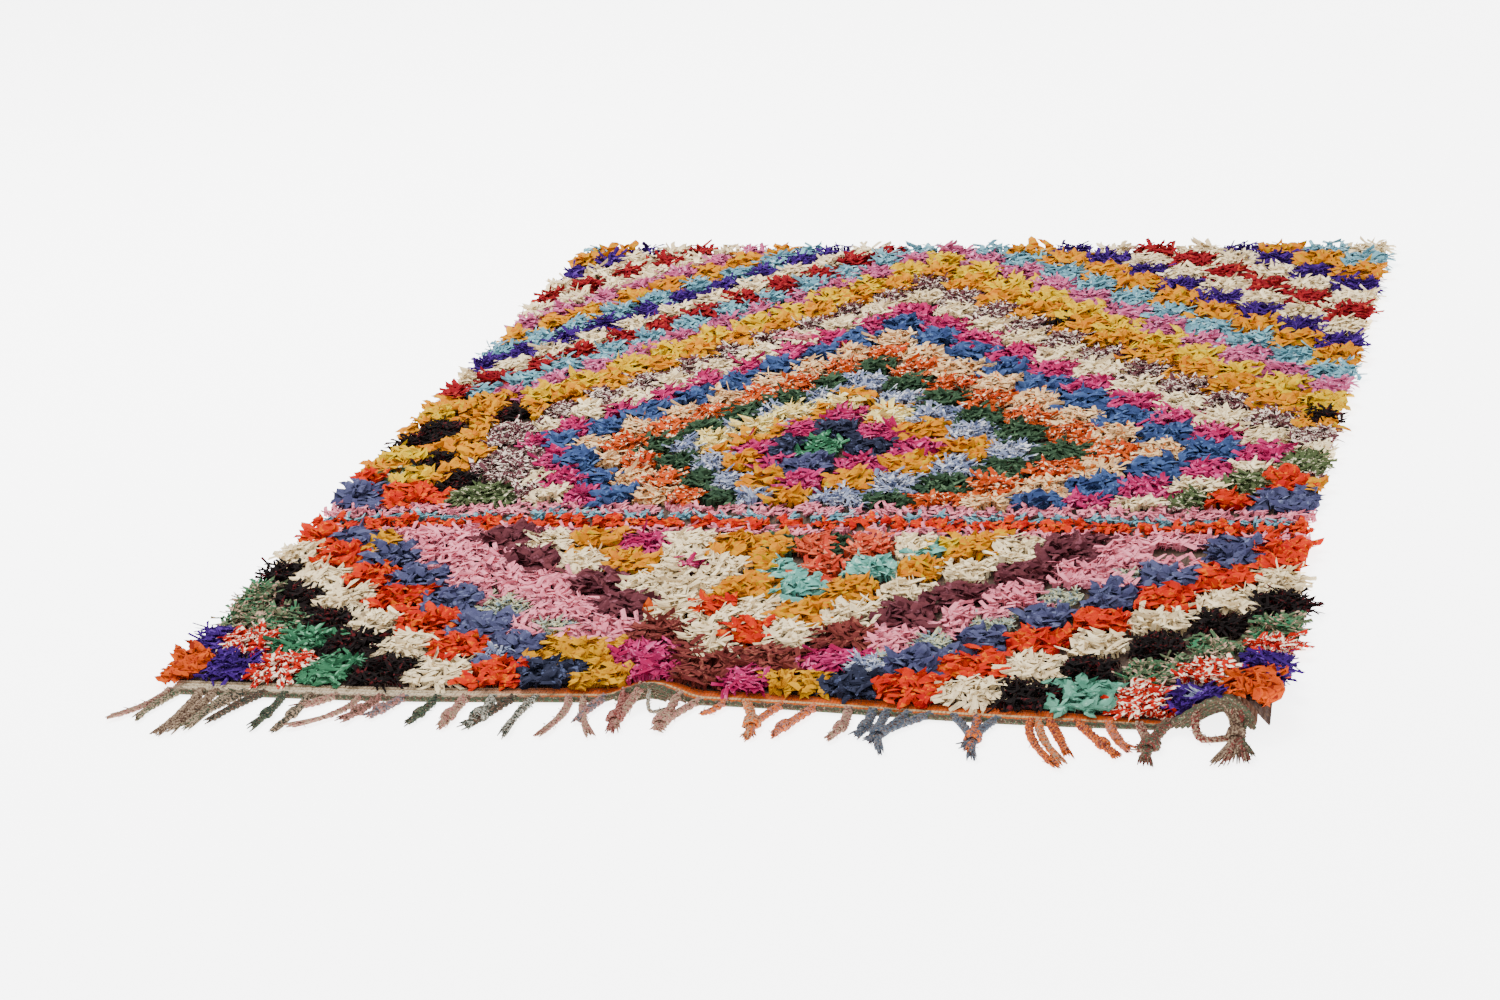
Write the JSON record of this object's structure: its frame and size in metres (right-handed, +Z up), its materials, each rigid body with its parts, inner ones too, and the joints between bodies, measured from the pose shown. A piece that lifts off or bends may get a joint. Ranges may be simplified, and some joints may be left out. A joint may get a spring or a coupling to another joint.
{
  "type": "boucherouite rug",
  "caption": "Shaggy rag-pile rug lying flat, with stepped lozenges of bright rag tufts, a flat-woven front end band and a warp fringe, its front edge lifted in two small waves",
  "frame": {"origin": "on the flat underside, at the middle of the rug on the floor", "axes": "+Z up, +Y along the rug's length towards the end without fringe, +X across to the right as seen from the fringed end"},
  "size_m": [1.5536, 2.0397, 0.0737],
  "materials": {
    "rag_pile": "matt cotton and knit rag strips in many colours",
    "woven_band": "matt flat weave and twisted melange cords"
  },
  "bodies": {
    "root": {"rug_pile": "rag_pile", "front_end_band": "woven_band"}
  },
  "joints": []
}
